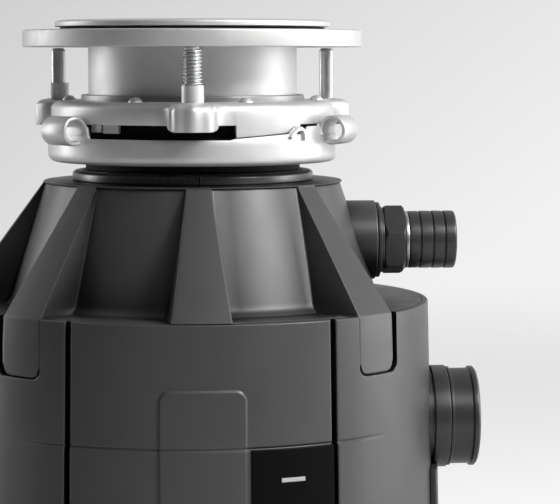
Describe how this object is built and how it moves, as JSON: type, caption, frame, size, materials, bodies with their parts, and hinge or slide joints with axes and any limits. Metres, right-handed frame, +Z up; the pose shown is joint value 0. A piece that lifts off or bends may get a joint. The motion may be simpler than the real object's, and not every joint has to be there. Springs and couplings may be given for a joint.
{
  "type": "garbage disposal",
  "caption": "Under-sink food waste disposal with a ribbed shroud, a three-screw sink mount and two side hose connections.",
  "frame": {"origin": "centre of the base plane, on the motor shaft's axis", "axes": "+Z up along the shaft towards the sink, +X along both hose connections, -Y is the front with the label plate"},
  "size_m": [0.2203, 0.202, 0.3182],
  "materials": {
    "polished_steel": "polished",
    "satin_metal": "satin",
    "bright_cast": "bright cast, softly rounded",
    "plated_steel": "zinc plated",
    "shroud_plastic": "satin moulded",
    "trim_plastic": "semi-gloss",
    "label_black": "gloss",
    "rubber": "matte",
    "motor_steel": "satin",
    "copper": "varnished wire",
    "foam": "felted",
    "button_red": "gloss"
  },
  "bodies": {
    "root": {"sink_flange": "polished_steel", "upper_mounting_ring": "bright_cast", "upper_end_bell": "bright_cast", "lower_end_frame": "bright_cast", "snap_ring": "plated_steel", "clip_ring": "plated_steel", "shredder_ring": "plated_steel", "upper_bearing": "plated_steel", "lower_bearing": "plated_steel", "through_bolt_1": "plated_steel", "through_bolt_2": "plated_steel", "through_bolt_3": "plated_steel", "through_bolt_4": "plated_steel", "wiring_cover": "plated_steel", "wiring_cover_screw": "plated_steel", "button_spring": "plated_steel", "upper_shroud": "shroud_plastic", "front_panel": "shroud_plastic", "rear_shell": "shroud_plastic", "inlet_boss": "shroud_plastic", "bottom_cover": "trim_plastic", "clamp_collar": "trim_plastic", "inlet_nut": "trim_plastic", "inlet_ring": "trim_plastic", "hose_nipple": "trim_plastic", "outlet_tube": "trim_plastic", "outlet_collar": "trim_plastic", "outlet_apron": "trim_plastic", "overload_protector": "trim_plastic", "start_relay": "trim_plastic", "label_plate": "label_black", "sink_gasket": "rubber", "mount_cushion": "rubber", "outlet_gasket": "rubber", "shaft_seal": "rubber", "cable_gland": "rubber", "container_body": "motor_steel", "stator_core": "motor_steel", "upper_winding": "copper", "lower_winding": "copper", "sound_sleeve": "foam"},
    "backup": {"backup_flange": "satin_metal"},
    "screw_1": {"mounting_screw_1": "plated_steel"},
    "screw_2": {"mounting_screw_2": "plated_steel"},
    "screw_3": {"mounting_screw_3": "plated_steel"},
    "lower_mount": {"lower_mounting_ring": "bright_cast"},
    "guard": {"splash_guard": "rubber"},
    "rotor": {"rotor_shaft": "plated_steel", "rotor_core": "motor_steel", "cooling_fan": "trim_plastic", "turntable": "plated_steel", "turntable_nut": "plated_steel", "impeller_pin_1": "plated_steel", "impeller_pin_2": "plated_steel", "thrust_washer": "plated_steel"},
    "impeller_1": {"impeller_1": "plated_steel"},
    "impeller_2": {"impeller_2": "plated_steel"},
    "button": {"reset_button": "button_red"}
  },
  "joints": [
    {"name": "lower_ring_turn", "type": "hinge", "parent": "root", "child": "lower_mount", "pos_m": [0, 0, 0.2653], "axis": [0, 0, 1], "range_deg": [0, 30]},
    {"name": "flange_drop", "type": "slide", "parent": "root", "child": "backup", "axis": [0, 0, -1], "range_m": [0, 0.012]},
    {"name": "screw_1_turn", "type": "hinge", "parent": "backup", "child": "screw_1", "pos_m": [-0.00233, -0.06666, 0.2914], "axis": [0, 0, -1], "range_deg": [0, 3100]},
    {"name": "screw_2_turn", "type": "hinge", "parent": "backup", "child": "screw_2", "pos_m": [0.05889, 0.03131, 0.2914], "axis": [0, 0, -1], "range_deg": [0, 3100]},
    {"name": "screw_3_turn", "type": "hinge", "parent": "backup", "child": "screw_3", "pos_m": [-0.05656, 0.03535, 0.2914], "axis": [0, 0, -1], "range_deg": [0, 3100]},
    {"name": "guard_lift_out", "type": "slide", "parent": "root", "child": "guard", "axis": [0, 0, 1], "range_m": [0, 0.03]},
    {"name": "rotor_spin", "type": "hinge", "parent": "root", "child": "rotor", "pos_m": [0, 0, 0.1], "axis": [0, 0, 1], "continuous": true},
    {"name": "impeller_1_swing", "type": "hinge", "parent": "rotor", "child": "impeller_1", "pos_m": [0.044, 0, 0.1755], "axis": [0, 0, 1], "continuous": true},
    {"name": "impeller_2_swing", "type": "hinge", "parent": "rotor", "child": "impeller_2", "pos_m": [-0.044, 0, 0.1755], "axis": [0, 0, 1], "continuous": true},
    {"name": "reset_press", "type": "slide", "parent": "root", "child": "button", "axis": [0, 0, 1], "range_m": [0, 0.003], "stiffness_N_per_m": 250, "springref_m": -0.002, "deforming": ["button_spring"]}
  ],
  "couplings": [
    {"joint": "screw_1_turn", "follows": "flange_drop", "rad_per_m": 4452.6},
    {"joint": "screw_2_turn", "follows": "flange_drop", "rad_per_m": 4452.6},
    {"joint": "screw_3_turn", "follows": "flange_drop", "rad_per_m": 4452.6}
  ]
}
